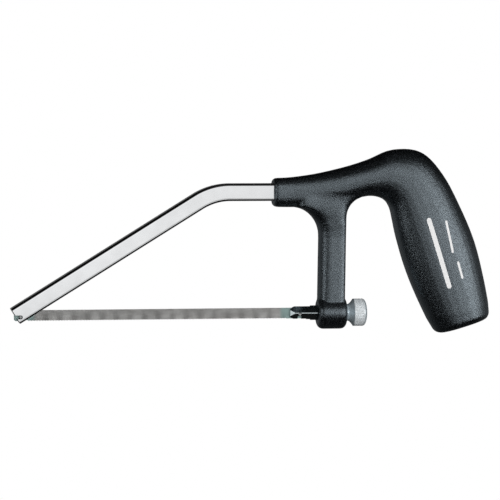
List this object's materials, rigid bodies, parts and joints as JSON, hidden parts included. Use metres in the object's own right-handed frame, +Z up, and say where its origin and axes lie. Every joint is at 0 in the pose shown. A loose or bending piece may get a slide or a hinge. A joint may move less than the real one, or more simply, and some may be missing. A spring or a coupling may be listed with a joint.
{
  "type": "pistol-grip junior hacksaw",
  "caption": "Small hacksaw with a cast pistol grip, a bent square bar and a knurled nut that tensions a pinned blade.",
  "frame": {"origin": "under the middle of the saw, at the height of the lowest point of the butt", "axes": "+X along the blade from the tip to the grip, +Z up with the teeth down, Y across"},
  "size_m": [0.2483, 0.0256, 0.0953],
  "materials": {
    "black_coating": "cast aluminium alloy under a fine-textured black powder coating",
    "black_plug": "matt moulded plastic",
    "bar_chrome": "chrome plated",
    "spring_steel": "oiled spring steel",
    "plated_steel": "bright plated, turned",
    "dark_steel": "ground and plated",
    "blade_steel": "tempered, brown-grey",
    "pin_steel": "drawn wire, cut to length"
  },
  "bodies": {
    "frame": {"handle_casting": "black_coating", "grip_end_plug": "black_plug", "frame_bar": "bar_chrome", "bar_roll_pin": "spring_steel", "thrust_washer": "plated_steel"},
    "holder": {"blade_holder": "dark_steel", "saw_blade": "blade_steel", "front_blade_pin": "pin_steel", "rear_blade_pin": "pin_steel"},
    "nut": {"tension_nut": "plated_steel"}
  },
  "joints": [
    {"name": "nut_spin", "type": "hinge", "parent": "frame", "child": "nut", "pos_m": [0.055, 0, 0.011], "axis": [1, 0, 0], "range_deg": [0, 2520]},
    {"name": "holder_slide", "type": "slide", "parent": "frame", "child": "holder", "axis": [-1, 0, 0], "range_m": [0, 0.0057]}
  ],
  "couplings": [
    {"joint": "holder_slide", "follows": "nut_spin", "m_per_rad": 0.00012732}
  ]
}
